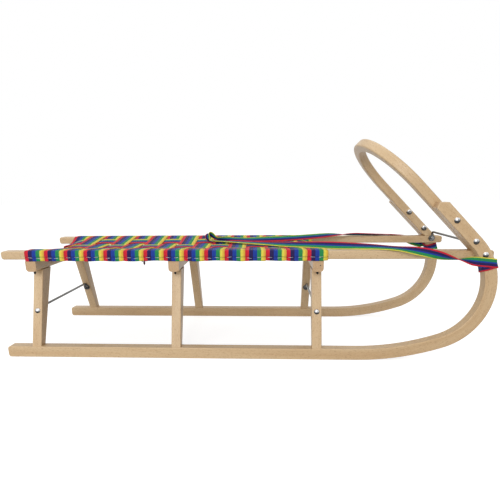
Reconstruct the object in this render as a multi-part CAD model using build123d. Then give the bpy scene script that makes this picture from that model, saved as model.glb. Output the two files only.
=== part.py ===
from build123d import *
from math import asin, atan2, cos, floor, pi, radians, sin, sqrt, tan
import os

# A wooden sled with a webbing seat. Millimetres: X forward, Y to the sled's left, Z up,
# with the origin on the ground under the middle of the sled.

# Overall sizes
LENGTH = 1100.0
WIDTH = 330.0
CLEARANCE = 0.15

# Runners: a straight foot, a long easy bend, a tight bend and a straight horn that leans back
RUNNER_HEIGHT = 26.0
RUNNER_THICKNESS = 23.0
RUNNER_EASING = 2.0
FOOT_CORNER = 6.0
EASY_BEND_RADIUS = 580.0
EASY_BEND_ANGLE = 19.0
TIGHT_BEND_RADIUS = 147.0
HORN_LEAN = 135.0
HORN_TIP_Z = 350.0
HORN_TIP_FLAT = 20.0
HORN_TIP_TRIM = 12.0

# Seat rails, which lie against the inner faces of the horns
RAIL_TOP_Z = 247.0
RAIL_HEIGHT = 19.0
RAIL_WIDTH = 25.0
RAIL_END_INSET = 3.0
RAIL_END_ROUNDING = 6.0
RAIL_EASING = 3.0

# Crossbars under the rails, with a leg at each end; tied pairs of legs have a tie rod between them
REAR_LEG_INSET = 70.0
FRONT_LEG_INSET = 90.0
MIDDLE_LEG_SHIFT = 3.2
SIDES = [
    # name, sign of y
    ("left", 1),
    ("right", -1),
]
CROSSBAR_HEIGHT = 24.0
CROSSBAR_WIDTH = 24.0
CROSSBAR_EASING = 7.0

# Legs, splayed outwards and tapered towards the runners
LEG_WIDTH = 22.0
LEG_TOP_INSET = 2.5
LEG_TOP_DEPTH = 36.0
LEG_EASING = 2.0
TENON_WIDTH = 11.0
TENON_TOP_DEPTH = 22.0
TENON_TOP_LENGTH = 14.0
TENON_FOOT_DEPTH = 11.0
TENON_FOOT_LENGTH = 15.0

# Hoop between the horns
HOOP_SECTION = 22.0
HOOP_EASING = 4.0
HOOP_CROWN_Z = 477.0
HOOP_SET_BACK = 1.5
UPPER_BOLT_DROP = 37.0
LOWER_BOLT_RISE = 22.0

# Bolts, nuts and tie rods
BOLT_RADIUS = 3.0
BOLT_HEAD_RADIUS = 6.5
BOLT_HEAD_HEIGHT = 3.8
BOLT_END = 2.0
NUT_ACROSS_FLATS = 10.0
NUT_HEIGHT = 5.0
NUT_FLANGE_RADIUS = 6.8
NUT_FLANGE_THICKNESS = 1.2
CAP_NUT_HEIGHT = 8.0
CAP_NUT_ROUNDING = 3.6
LEG_BOLT_Z = 103.0
SPOT_FACE_DEPTH = 0.6
RAIL_BOLT_DROP = 6.0
ROD_RADIUS = 2.75
ROD_BEND_RADIUS = 7.0
EYE_RADIUS = 8.5
EYE_THICKNESS = 3.0
EYE_LAP = 1.0
LEG_ROD_RISE = 14.0
HORN_ROD_RISE = 18.0

# Screws that hold the rails on the crossbars
SCREW_RADIUS = 2.2
SCREW_HEAD_RADIUS = 4.2
SCREW_HEAD_HEIGHT = 3.0
SCREW_TIP_LENGTH = 5.0
SCREW_PROUD = 7.0

# Webbing seat: bands across the rails, woven through strips that run lengthwise
WEB_THICKNESS = 1.8
WEB_CLEARANCE = 0.2
HEM_THICKNESS = 4.0
BAND_WIDTH = 45.0
BAND_GAP = 0.6
SEAT_OVERHANG = 5.0
HEM_INSET = 2.0
SEAT_SAG = 11.0
STRIP_WIDTH = 45.0
STRIP_PITCH = 68.0
STRIP_TURN_DOWN = 22.0

# Pull strap: a limp length of webbing from one horn to the other, with a loop round each
STRAP_WIDTH = 20.0
STRAP_RADIUS = 3.0
LOOP_Z = 217.0
LOOP_SLANT = 9.0
LOOP_THICKNESS = 3.0
LOOP_CLEARANCE = 1.3

# Places that follow from the sizes above
runner_mid_y = WIDTH / 2 - RUNNER_THICKNESS / 2
rail_outer_y = WIDTH / 2 - RUNNER_THICKNESS
rail_inner_y = rail_outer_y - RAIL_WIDTH
rail_mid_y = rail_outer_y - RAIL_WIDTH / 2
rail_bottom_z = RAIL_TOP_Z - RAIL_HEIGHT
crossbar_top_z = rail_bottom_z - HEM_THICKNESS
crossbar_bottom_z = crossbar_top_z - CROSSBAR_HEIGHT
foot_rear_x = -LENGTH / 2
rail_rear_x = foot_rear_x + RAIL_END_INSET
rail_front_x = LENGTH / 2 - RAIL_END_INSET
bend_x = LENGTH / 2 - TIGHT_BEND_RADIUS
easy_sine = sin(radians(EASY_BEND_ANGLE))
easy_cosine = cos(radians(EASY_BEND_ANGLE))
easy_start_x = bend_x - (EASY_BEND_RADIUS - TIGHT_BEND_RADIUS) * easy_sine
bend_z = EASY_BEND_RADIUS - (EASY_BEND_RADIUS - TIGHT_BEND_RADIUS) * easy_cosine
rear_leg_x = foot_rear_x + REAR_LEG_INSET
front_leg_x = easy_start_x - FRONT_LEG_INSET
middle_leg_x = (rear_leg_x + front_leg_x) / 2 + MIDDLE_LEG_SHIFT
stations = [
    # name, x, tied
    ("rear", rear_leg_x, True),
    ("middle", middle_leg_x, False),
    ("front", front_leg_x, True),
]
seat_rear_x = rear_leg_x - CROSSBAR_WIDTH / 2 - SEAT_OVERHANG
seat_front_x = front_leg_x + CROSSBAR_WIDTH / 2 + SEAT_OVERHANG
seat_length = seat_front_x - seat_rear_x
band_count = floor((seat_length + BAND_GAP) / (BAND_WIDTH + BAND_GAP))
band_pitch = seat_length / band_count
bend_mid_radius = TIGHT_BEND_RADIUS - RUNNER_HEIGHT / 2
horn_direction = Vector(cos(radians(HORN_LEAN)), 0, sin(radians(HORN_LEAN)))
horn_outward = Vector(sin(radians(HORN_LEAN)), 0, -cos(radians(HORN_LEAN)))
horn_foot = Vector(bend_x, 0, bend_z) + horn_outward * bend_mid_radius


def on_horn(z, offset=0.0):
    """Point at height z on the straight horn's middle line, moved outwards by an offset."""
    start = horn_foot + horn_outward * offset
    return start + horn_direction * ((z - start.Z) / horn_direction.Z)


def on_bend(z):
    """Point at height z on the middle line of the tight bend."""
    return Vector(bend_x + sqrt(bend_mid_radius**2 - (z - bend_z) ** 2), 0, z)


def flat(vector):
    """Point of the XZ plane as a pair."""
    return (vector.X, vector.Z)


def cylinder_between(start, end, radius):
    """Solid cylinder from one point to another."""
    plane = Plane(origin=start, z_dir=end - start)
    return extrude(plane * Circle(radius), (end - start).length)


def bolt_hole(bolt):
    """Cutter across the whole sled for a bolt that lies along Y."""
    return Pos(bolt.X, 0, bolt.Z) * Rot(90, 0, 0) * Cylinder(BOLT_RADIUS + CLEARANCE, WIDTH)


# Runner outline, seen from the side
def bend_point(angle, radius, centre):
    """Point of a bend, at an angle from straight below its centre."""
    return (centre[0] + radius * sin(radians(angle)), centre[1] - radius * cos(radians(angle)))


easy_centre = (easy_start_x, EASY_BEND_RADIUS)
tight_centre = (bend_x, bend_z)
half_easy = EASY_BEND_ANGLE / 2
half_tight = (EASY_BEND_ANGLE + HORN_LEAN) / 2
horn_front_tip = flat(on_horn(HORN_TIP_Z, RUNNER_HEIGHT / 2))
horn_rear_tip = flat(on_horn(HORN_TIP_Z - HORN_TIP_TRIM, -RUNNER_HEIGHT / 2))


def runner_outline(depth):
    """Corner points of one long edge of the runner, a given depth in from its sole and front."""
    easy = EASY_BEND_RADIUS - depth
    tight = TIGHT_BEND_RADIUS - depth
    return [
        (easy_start_x, depth),
        bend_point(half_easy, easy, easy_centre),
        bend_point(EASY_BEND_ANGLE, easy, easy_centre),
        bend_point(half_tight, tight, tight_centre),
        bend_point(HORN_LEAN, tight, tight_centre),
    ]


def runner_face():
    """Side view of a runner."""
    sole = runner_outline(0.0)
    top = runner_outline(RUNNER_HEIGHT)
    heel = (foot_rear_x, 0.0)
    heel_top = (foot_rear_x, RUNNER_HEIGHT)
    crown = (horn_front_tip[0] - HORN_TIP_FLAT, HORN_TIP_Z)
    edges = [
        Line(heel, sole[0]),
        ThreePointArc(*sole[0:3]),
        ThreePointArc(*sole[2:5]),
        Line(sole[4], horn_front_tip),
        Line(horn_front_tip, crown),
        Line(crown, horn_rear_tip),
        Line(horn_rear_tip, top[4]),
        ThreePointArc(*top[2:5]),
        ThreePointArc(*top[0:3]),
        Line(top[0], heel_top),
        Line(heel_top, heel),
    ]
    face = make_face(edges)
    heel_corners = face.vertices().group_by(Axis.X)[0]
    return fillet(heel_corners, FOOT_CORNER)


def board(face, thickness, easing):
    """Board cut to a side view, with the rims of both its sides eased."""
    blank = extrude(Plane.XZ * face, thickness / 2, both=True)
    return fillet(blank.faces().filter_by(Axis.Y).edges(), easing)


runner_blank = board(runner_face(), RUNNER_THICKNESS, RUNNER_EASING)

# Legs: places of their corners in the YZ plane for the left side
leg_foot_outer_y = WIDTH / 2 - RUNNER_EASING
leg_foot_inner_y = rail_outer_y + RUNNER_EASING
leg_foot_mid_y = (leg_foot_outer_y + leg_foot_inner_y) / 2
leg_top_outer_y = rail_inner_y - LEG_TOP_INSET
leg_top_inner_y = leg_top_outer_y - LEG_TOP_DEPTH
leg_top_mid_y = leg_top_outer_y - LEG_TOP_DEPTH / 2
leg_height = crossbar_bottom_z - RUNNER_HEIGHT
leg_slope = (leg_foot_mid_y - leg_top_mid_y) / leg_height
outer_slope = (leg_foot_outer_y - leg_top_outer_y) / leg_height
inner_slope = (leg_foot_inner_y - leg_top_inner_y) / leg_height
leg_tilt = atan2(leg_foot_mid_y - leg_top_mid_y, leg_height)

# Bolt through a leg, square to the leg's middle line, for the left side
bolt_outward = Vector(0, cos(leg_tilt), sin(leg_tilt))
leg_upward = Vector(0, -sin(leg_tilt), cos(leg_tilt))
leg_bolt_mid = Vector(0, leg_foot_mid_y - leg_slope * (LEG_BOLT_Z - RUNNER_HEIGHT), LEG_BOLT_Z)


def reach_to_face(slope, foot_y):
    """Distance along the bolt from the leg's middle to a side face of the leg."""
    gap = foot_y - slope * (leg_bolt_mid.Z - RUNNER_HEIGHT) - leg_bolt_mid.Y
    return gap / (bolt_outward.Y + slope * bolt_outward.Z)


outer_reach = reach_to_face(outer_slope, leg_foot_outer_y) - SPOT_FACE_DEPTH
inner_reach = reach_to_face(inner_slope, leg_foot_inner_y) + SPOT_FACE_DEPTH
head_seat = leg_bolt_mid + bolt_outward * outer_reach
eye_seat = leg_bolt_mid + bolt_outward * inner_reach


def mirrored(vector, sign):
    """Point of the left side carried to the side given by the sign of y."""
    return Vector(vector.X, vector.Y * sign, vector.Z)


def leg(x, sign, tied):
    """Leg with its two tenons, on the side given by the sign of y."""
    corners = [
        (leg_foot_inner_y, RUNNER_HEIGHT),
        (leg_foot_outer_y, RUNNER_HEIGHT),
        (leg_top_outer_y, crossbar_bottom_z),
        (leg_top_inner_y, crossbar_bottom_z),
    ]
    outline = Plane.YZ * make_face(Polyline(*corners, close=True))
    shaft = extrude(outline, LEG_WIDTH / 2, both=True)
    long_edges = shaft.edges().filter_by(Axis.X, reverse=True).filter_by(Axis.Y, reverse=True)
    shaft = fillet(long_edges, LEG_EASING)
    foot_tenon = Pos(0, leg_foot_mid_y, RUNNER_HEIGHT) * Box(
        TENON_WIDTH, TENON_FOOT_DEPTH, TENON_FOOT_LENGTH, align=(Align.CENTER, Align.CENTER, Align.MAX)
    )
    top_tenon = Pos(0, leg_top_mid_y, crossbar_bottom_z) * Box(
        TENON_WIDTH, TENON_TOP_DEPTH, TENON_TOP_LENGTH, align=(Align.CENTER, Align.CENTER, Align.MIN)
    )
    solid = shaft + foot_tenon + top_tenon
    if tied:
        solid -= cylinder_between(eye_seat, head_seat, BOLT_RADIUS + CLEARANCE)
        head_room = head_seat + bolt_outward * BOLT_HEAD_HEIGHT
        eye_room = eye_seat - bolt_outward * EYE_THICKNESS
        solid -= cylinder_between(head_seat, head_room, BOLT_HEAD_RADIUS + CLEARANCE)
        solid -= cylinder_between(eye_seat, eye_room, EYE_RADIUS + CLEARANCE)
    if sign < 0:
        solid = mirror(solid, Plane.XZ)
    return Pos(x, 0, 0) * solid


def mortise(x, y, z, depth, length, upward):
    """Cutter for a tenon, a clearance larger all round."""
    end = Align.MIN if upward else Align.MAX
    size = (TENON_WIDTH + 2 * CLEARANCE, depth + 2 * CLEARANCE, length + CLEARANCE)
    return Pos(x, y, z) * Box(*size, align=(Align.CENTER, Align.CENTER, end))


def cup_bolt(start, end):
    """Bolt whose cup head seats at the start and whose shank runs on to the end."""
    dome_radius = (BOLT_HEAD_RADIUS**2 + BOLT_HEAD_HEIGHT**2) / (2 * BOLT_HEAD_HEIGHT)
    dome_mid = (
        dome_radius * sin(asin(BOLT_HEAD_RADIUS / dome_radius) / 2),
        dome_radius * cos(asin(BOLT_HEAD_RADIUS / dome_radius) / 2) - dome_radius + BOLT_HEAD_HEIGHT,
    )
    profile = make_face(
        [
            Line((0, 0), (BOLT_HEAD_RADIUS, 0)),
            ThreePointArc((BOLT_HEAD_RADIUS, 0), dome_mid, (0, BOLT_HEAD_HEIGHT)),
            Line((0, BOLT_HEAD_HEIGHT), (0, 0)),
        ]
    )
    head = revolve(Plane.XZ * profile, Axis.Z)
    head = Plane(origin=start, z_dir=start - end).location * head
    return head + cylinder_between(start, end, BOLT_RADIUS)


def flange_nut(seat, direction):
    """Hexagon nut with a round flange, seated at a point and facing along a direction."""
    body = extrude(RegularPolygon(NUT_ACROSS_FLATS / 2, 6, major_radius=False), NUT_HEIGHT)
    body += extrude(Circle(NUT_FLANGE_RADIUS), NUT_FLANGE_THICKNESS)
    body -= extrude(Circle(BOLT_RADIUS + CLEARANCE), NUT_HEIGHT)
    return Plane(origin=seat, z_dir=direction).location * body


def cap_nut(seat, direction):
    """Round-topped nut that hides the end of its bolt."""
    body = extrude(Circle(NUT_FLANGE_RADIUS), CAP_NUT_HEIGHT)
    body = fillet(body.edges().group_by(Axis.Z)[-1], CAP_NUT_ROUNDING)
    body -= extrude(Circle(BOLT_RADIUS + CLEARANCE), NUT_HEIGHT + CLEARANCE)
    return Plane(origin=seat, z_dir=direction).location * body


# Bolt lines on the horns
rail_bolt = on_bend(RAIL_TOP_Z - RAIL_BOLT_DROP)
hoop_bolts = [on_horn(HORN_TIP_Z - UPPER_BOLT_DROP), on_horn(RAIL_TOP_Z + LOWER_BOLT_RISE)]
hoop_inner_y = rail_outer_y - HOOP_SECTION

parts = {}

# Runners with mortises and bolt holes
for side, sign in SIDES:
    runner = Pos(0, sign * runner_mid_y, 0) * runner_blank
    foot_y = sign * leg_foot_mid_y
    for name, x, tied in stations:
        runner -= mortise(x, foot_y, RUNNER_HEIGHT, TENON_FOOT_DEPTH, TENON_FOOT_LENGTH, False)
    for bolt in [rail_bolt] + hoop_bolts:
        runner -= bolt_hole(bolt)
    parts["runner_" + side] = runner

# Rails with the holes for bolts and countersunk screws
screw_tip_z = crossbar_bottom_z - SCREW_PROUD


def screw(x, y, grow):
    """Countersunk wood screw, point down; grow gives the hole that it goes in."""
    top = RAIL_TOP_Z
    radius = SCREW_RADIUS + grow
    head_radius = SCREW_HEAD_RADIUS + grow
    neck_z = top - SCREW_HEAD_HEIGHT - grow
    tip_z = screw_tip_z - grow
    profile = Polyline(
        (0, top),
        (head_radius, top),
        (radius, neck_z),
        (radius, tip_z + SCREW_TIP_LENGTH),
        (0, tip_z),
        close=True,
    )
    return Pos(x, y, 0) * revolve(Plane.XZ * make_face(profile), Axis.Z)


rail_mid_x = (rail_front_x + rail_rear_x) / 2
rail_mid_z = RAIL_TOP_Z - RAIL_HEIGHT / 2
rail_face = RectangleRounded(rail_front_x - rail_rear_x, RAIL_HEIGHT, RAIL_END_ROUNDING)
rail_blank = board(rail_face, RAIL_WIDTH, RAIL_EASING)
for side, sign in SIDES:
    rail = Pos(rail_mid_x, sign * rail_mid_y, rail_mid_z) * rail_blank
    rail -= bolt_hole(rail_bolt)
    for name, x, tied in stations:
        rail -= screw(x, sign * rail_mid_y, CLEARANCE)
    parts["rail_" + side] = rail

# Crossbars
crossbar_mid_z = crossbar_top_z - CROSSBAR_HEIGHT / 2
for name, x, tied in stations:
    bar = Pos(x, 0, crossbar_mid_z) * Box(CROSSBAR_WIDTH, 2 * rail_outer_y, CROSSBAR_HEIGHT)
    lower = bar.edges().filter_by(Axis.Y).group_by(Axis.Z)[0]
    bar = fillet(lower, CROSSBAR_EASING)
    for side, sign in SIDES:
        top_y = sign * leg_top_mid_y
        bar -= mortise(x, top_y, crossbar_bottom_z, TENON_TOP_DEPTH, TENON_TOP_LENGTH, True)
        bar -= screw(x, sign * rail_mid_y, CLEARANCE)
    parts["crossbar_" + name] = bar

# Legs and screws
for name, x, tied in stations:
    for side, sign in SIDES:
        parts["leg_" + name + "_" + side] = leg(x, sign, tied)
        parts["screw_" + name + "_" + side] = screw(x, sign * rail_mid_y, 0.0)

# Leg bolts, nuts and tie rods
leg_bolt_end = eye_seat - bolt_outward * (EYE_THICKNESS + NUT_HEIGHT + BOLT_END)
leg_nut_seat = eye_seat - bolt_outward * EYE_THICKNESS
for name, x, tied in stations:
    if not tied:
        continue
    shift = Vector(x, 0, 0)
    for side, sign in SIDES:
        head = mirrored(head_seat, sign) + shift
        end = mirrored(leg_bolt_end, sign) + shift
        seat = mirrored(leg_nut_seat, sign) + shift
        parts["leg_bolt_" + name + "_" + side] = cup_bolt(head, end)
        parts["leg_nut_" + name + "_" + side] = flange_nut(seat, end - head)


def tie_rod(seat, inward, upward, rise, proud):
    """Rod across the sled between two flattened eyes, clear of wood that stands proud of their seats.

    The seat and the two directions are those of the left eye.
    """
    wire_offset = inward * (ROD_RADIUS + proud + CLEARANCE)
    start = seat + wire_offset + upward * (EYE_RADIUS - EYE_LAP)
    corner = seat + wire_offset + upward * rise
    path = FilletPolyline(
        start, corner, mirrored(corner, -1), mirrored(start, -1), radius=ROD_BEND_RADIUS
    )
    rod = sweep(Plane(origin=start, z_dir=upward) * Circle(ROD_RADIUS), path)
    for sign in (1, -1):
        eye_start = mirrored(seat, sign)
        eye_end = mirrored(seat + inward * EYE_THICKNESS, sign)
        rod += cylinder_between(eye_start, eye_end, EYE_RADIUS)
    for sign in (1, -1):
        hole_start = mirrored(seat - inward * EYE_LAP, sign)
        hole_end = mirrored(seat + inward * (EYE_THICKNESS + EYE_LAP), sign)
        rod -= cylinder_between(hole_start, hole_end, BOLT_RADIUS + CLEARANCE)
    return rod


leg_proud = SPOT_FACE_DEPTH + (inner_slope - leg_slope) * LEG_ROD_RISE
for name, x, tied in stations:
    if tied:
        parts["tie_rod_" + name] = Pos(x, 0, 0) * tie_rod(
            eye_seat, -bolt_outward, leg_upward, LEG_ROD_RISE, leg_proud
        )
rail_eye_seat = Vector(0, rail_inner_y, rail_bolt.Z)
parts["tie_rod_horn"] = Pos(rail_bolt.X, 0, 0) * tie_rod(
    rail_eye_seat, Vector(0, -1, 0), Vector(0, 0, 1), HORN_ROD_RISE, 0.0
)

# Hoop: two straight arms and a half circle, in the leaning plane of the horns
crown = on_horn(HOOP_CROWN_Z, -HOOP_SET_BACK)
hoop_plane = Plane(origin=crown, x_dir=(0, 1, 0), z_dir=-horn_outward)
hoop_mid_y = rail_outer_y - HOOP_SECTION / 2
arm_length = (HOOP_CROWN_Z - RAIL_TOP_Z) / horn_direction.Z + HOOP_SECTION
hoop_side = 1 if hoop_plane.y_dir.Z < 0 else -1
arm_start = hoop_side * hoop_mid_y
arm_end = hoop_side * arm_length
hoop_path = hoop_plane * Wire(
    [
        Line((-hoop_mid_y, arm_end), (-hoop_mid_y, arm_start)),
        ThreePointArc((-hoop_mid_y, arm_start), (0, 0), (hoop_mid_y, arm_start)),
        Line((hoop_mid_y, arm_start), (hoop_mid_y, arm_end)),
    ]
)
hoop_section_plane = Plane(origin=hoop_path @ 0, x_dir=(0, 1, 0), z_dir=hoop_path % 0)
hoop_section = RectangleRounded(HOOP_SECTION, HOOP_SECTION, HOOP_EASING)
hoop = sweep(hoop_section_plane * hoop_section, hoop_path)
hoop -= Pos(0, 0, RAIL_TOP_Z + CLEARANCE) * Box(
    LENGTH, WIDTH, RAIL_TOP_Z, align=(Align.CENTER, Align.CENTER, Align.MAX)
)
for bolt in hoop_bolts:
    hoop -= bolt_hole(bolt)
parts["hoop"] = hoop

# Bolts and nuts on the horns
for side, sign in SIDES:
    head = Vector(rail_bolt.X, sign * WIDTH / 2, rail_bolt.Z)
    seat = Vector(rail_bolt.X, sign * (rail_inner_y - EYE_THICKNESS), rail_bolt.Z)
    end = seat - Vector(0, sign * (NUT_HEIGHT + BOLT_END), 0)
    parts["rail_bolt_" + side] = cup_bolt(head, end)
    parts["rail_nut_" + side] = flange_nut(seat, end - head)
    for place, bolt in zip(["upper", "lower"], hoop_bolts):
        head = Vector(bolt.X, sign * WIDTH / 2, bolt.Z)
        seat = Vector(bolt.X, sign * hoop_inner_y, bolt.Z)
        end = seat - Vector(0, sign * NUT_HEIGHT, 0)
        parts["hoop_bolt_" + place + "_" + side] = cup_bolt(head, end)
        parts["hoop_nut_" + place + "_" + side] = cap_nut(seat, end - head)

# Seat bands: each wraps both rails and sags between them, over or under the middle strip in turn
web_top_z = RAIL_TOP_Z + WEB_CLEARANCE
strip_levels = []
for place in (-1, 0, 1):
    strip_y = place * STRIP_PITCH
    sag = SEAT_SAG * (1 - (strip_y / rail_inner_y) ** 2)
    strip_levels.append((strip_y, web_top_z + WEB_THICKNESS / 2 - sag))


def band(start_over):
    """One band at x = 0, which goes over or under the first strip and changes at each one after."""
    weave = WEB_THICKNESS + WEB_CLEARANCE
    middle = [(-rail_inner_y - RAIL_EASING, web_top_z + WEB_THICKNESS / 2)]
    over = start_over
    for strip_y, level in strip_levels:
        height = level + (weave if over else -weave)
        middle.append((strip_y - STRIP_WIDTH / 2, height))
        middle.append((strip_y + STRIP_WIDTH / 2, height))
        over = not over
    middle.append((rail_inner_y + RAIL_EASING, web_top_z + WEB_THICKNESS / 2))
    upper = [(y, z + WEB_THICKNESS / 2) for y, z in middle]
    lower = [(y, z - WEB_THICKNESS / 2) for y, z in reversed(middle)]
    section = make_face(Polyline(*upper, *lower, close=True))
    for side, sign in SIDES:
        inner = RectangleRounded(
            RAIL_WIDTH + 2 * WEB_CLEARANCE, RAIL_HEIGHT + 2 * WEB_CLEARANCE, RAIL_EASING + WEB_CLEARANCE
        )
        outer = RectangleRounded(
            RAIL_WIDTH + 2 * WEB_CLEARANCE + 2 * WEB_THICKNESS,
            RAIL_HEIGHT + 2 * WEB_CLEARANCE + 2 * WEB_THICKNESS,
            RAIL_EASING + WEB_CLEARANCE + WEB_THICKNESS,
        )
        wrap = Pos(sign * rail_mid_y, rail_mid_z) * (outer - inner)
        wrap -= Rectangle(2 * (rail_inner_y + RAIL_EASING), 4 * RAIL_TOP_Z)
        hem_width = RAIL_WIDTH - HEM_INSET - RAIL_EASING
        hem_y = sign * (rail_outer_y - hem_width / 2)
        hem_height = HEM_THICKNESS - WEB_CLEARANCE
        hem = Pos(hem_y, crossbar_top_z + hem_height / 2) * Rectangle(hem_width, hem_height)
        section = section + wrap + hem
    return extrude(Plane.YZ * section, BAND_WIDTH)


bands = {"over": [], "under": []}
for index in range(band_count):
    kind = "over" if index % 2 == 0 else "under"
    x = seat_rear_x + index * band_pitch + (band_pitch - BAND_WIDTH) / 2
    strip_band = Pos(x, 0, 0) * band(kind == "under")
    for name, station_x, tied in stations:
        if x < station_x < x + BAND_WIDTH:
            for side, sign in SIDES:
                strip_band -= Pos(station_x, sign * rail_mid_y, rail_bottom_z) * Cylinder(
                    SCREW_RADIUS + CLEARANCE, 2 * HEM_THICKNESS
                )
    bands[kind].append(strip_band)
for kind in bands:
    parts["seat_bands_" + kind] = Compound(bands[kind])

# Seat strips: flat along the seat and turned down over the end crossbars
strips = []
rear_bar_x = stations[0][1] - CROSSBAR_WIDTH / 2 - WEB_CLEARANCE
front_bar_x = stations[-1][1] + CROSSBAR_WIDTH / 2 + WEB_CLEARANCE
for strip_y, level in strip_levels:
    top = level + WEB_THICKNESS / 2
    bottom = level - WEB_THICKNESS / 2
    below_band_z = bottom - WEB_THICKNESS - 2 * WEB_CLEARANCE
    end_z = crossbar_top_z - STRIP_TURN_DOWN
    bar_z = crossbar_top_z
    rear_x = seat_rear_x - WEB_CLEARANCE
    front_x = seat_front_x + WEB_CLEARANCE
    outline = Polyline(
        (rear_x - WEB_THICKNESS, top),
        (front_x + WEB_THICKNESS, top),
        (front_x + WEB_THICKNESS, below_band_z),
        (front_bar_x + WEB_THICKNESS, bar_z),
        (front_bar_x + WEB_THICKNESS, end_z),
        (front_bar_x, end_z),
        (front_bar_x, bar_z),
        (front_x, below_band_z),
        (front_x, bottom),
        (rear_x, bottom),
        (rear_x, below_band_z),
        (rear_bar_x, bar_z),
        (rear_bar_x, end_z),
        (rear_bar_x - WEB_THICKNESS, end_z),
        (rear_bar_x - WEB_THICKNESS, bar_z),
        (rear_x - WEB_THICKNESS, below_band_z),
        close=True,
    )
    strip = extrude(Plane.XZ * make_face(outline), STRIP_WIDTH / 2, both=True)
    strips.append(Pos(0, strip_y, 0) * strip)
parts["seat_strips"] = Compound(strips)

# Pull strap: slanting loops round the horns and a limp length laid over the seat
loop_mid = on_bend(LOOP_Z)
loop_outward = Vector(loop_mid.X - bend_x, 0, loop_mid.Z - bend_z).normalized()
loop_along = Vector(-loop_outward.Z, 0, loop_outward.X)
loop_height = RUNNER_HEIGHT + 2 * LOOP_CLEARANCE
loop_width = RUNNER_THICKNESS + 2 * CLEARANCE
loop_half = loop_width / 2 + LOOP_THICKNESS
for side, sign in SIDES:
    origin = loop_mid + Vector(0, sign * runner_mid_y, 0)
    plane = Plane(origin=origin, x_dir=(0, sign, 0), z_dir=loop_outward * sign)
    outline = Polyline(
        (-loop_half, -LOOP_SLANT - STRAP_WIDTH / 2),
        (loop_half, LOOP_SLANT - STRAP_WIDTH / 2),
        (loop_half, LOOP_SLANT + STRAP_WIDTH / 2),
        (-loop_half, -LOOP_SLANT + STRAP_WIDTH / 2),
        close=True,
    )
    loop = extrude(plane * make_face(outline), loop_height / 2 + LOOP_THICKNESS, both=True)
    loop -= plane * Box(loop_width, LENGTH, loop_height)
    parts["strap_loop_" + side] = loop

STRAP_ROUTE = [
    (509.2, -160.0, 219.4),
    (496.5, -160.5, 214.7),
    (474.0, -160.0, 225.0),
    (446.0, -157.5, 234.0),
    (418.0, -153.5, 243.0),
    (386.0, -149.5, 250.0),
    (343.0, -139.0, 252.5),
    (292.0, -123.0, 252.8),
    (248.0, -107.0, 251.5),
    (205.0, -89.0, 250.2),
    (160.0, -70.0, 248.8),
    (108.0, -42.0, 247.2),
    (58.0, -10.0, 246.3),
    (9.0, 15.0, 245.6),
    (-38.0, 33.5, 246.0),
    (-66.0, 43.0, 247.1),
    (-84.0, 48.0, 247.7),
    (-99.0, 50.5, 250.5),
    (-103.0, 52.0, 259.5),
    (-93.0, 54.0, 267.5),
    (-80.0, 56.0, 262.5),
    (-65.0, 57.0, 256.5),
    (-38.0, 55.0, 253.5),
    (13.0, 47.5, 250.5),
    (55.0, 50.0, 249.5),
    (103.0, 58.0, 249.3),
    (152.0, 68.5, 250.0),
    (197.0, 81.5, 251.5),
    (243.0, 98.0, 253.0),
    (292.0, 114.5, 253.8),
    (338.0, 124.0, 253.0),
    (384.0, 131.5, 251.5),
    (418.0, 139.0, 251.5),
    (445.0, 149.0, 246.5),
    (466.0, 155.5, 236.0),
    (484.0, 159.0, 222.0),
    (498.2, 160.3, 210.0),
    (510.9, 160.0, 214.7),
]


def strap_radii(points):
    """Largest bend radius that the runs on each side of a point leave room for."""
    radii = []
    for before, point, after in zip(points, points[1:], points[2:]):
        run_in = Vector(point) - Vector(before)
        run_out = Vector(after) - Vector(point)
        turn = radians(run_in.get_angle(run_out))
        radii.append(0.45 * min(run_in.length, run_out.length) / tan(turn / 2))
    return radii


radii = strap_radii(STRAP_ROUTE)
strap_path = FilletPolyline(*STRAP_ROUTE, radius=radii)
strap_start = Plane(origin=strap_path @ 0, z_dir=strap_path % 0)
parts["pull_strap"] = sweep(strap_start * Circle(STRAP_RADIUS), strap_path)
print("strap length", round(strap_path.length, 1), "radii", [round(radius) for radius in radii])
plain_volume = pi * STRAP_RADIUS**2 * strap_path.length
print("strap volume over section times length", round(parts["pull_strap"].volume / plain_volume, 4))

os.makedirs("parts", exist_ok=True)
for node, shape in parts.items():
    export_step(shape, "parts/" + node + ".step")
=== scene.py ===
import math
import random

import bpy
from mathutils import Matrix, Vector


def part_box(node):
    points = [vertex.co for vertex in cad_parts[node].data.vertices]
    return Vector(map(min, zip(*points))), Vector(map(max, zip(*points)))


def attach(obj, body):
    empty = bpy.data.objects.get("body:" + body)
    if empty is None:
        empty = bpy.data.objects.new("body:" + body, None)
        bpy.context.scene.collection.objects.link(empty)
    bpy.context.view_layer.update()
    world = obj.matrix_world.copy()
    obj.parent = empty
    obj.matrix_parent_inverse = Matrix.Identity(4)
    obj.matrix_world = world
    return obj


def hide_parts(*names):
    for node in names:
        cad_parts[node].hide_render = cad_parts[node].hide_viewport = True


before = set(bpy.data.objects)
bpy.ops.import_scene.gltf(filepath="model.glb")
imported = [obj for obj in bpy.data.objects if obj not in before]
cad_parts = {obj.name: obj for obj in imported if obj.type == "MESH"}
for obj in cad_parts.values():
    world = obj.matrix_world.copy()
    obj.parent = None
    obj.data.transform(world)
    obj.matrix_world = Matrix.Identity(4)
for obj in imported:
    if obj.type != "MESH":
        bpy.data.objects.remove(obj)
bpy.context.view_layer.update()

# A wooden sled with a webbing seat and a webbing pull strap. Metres: X forward, Y to the left, Z up.
random.seed(11)

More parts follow.
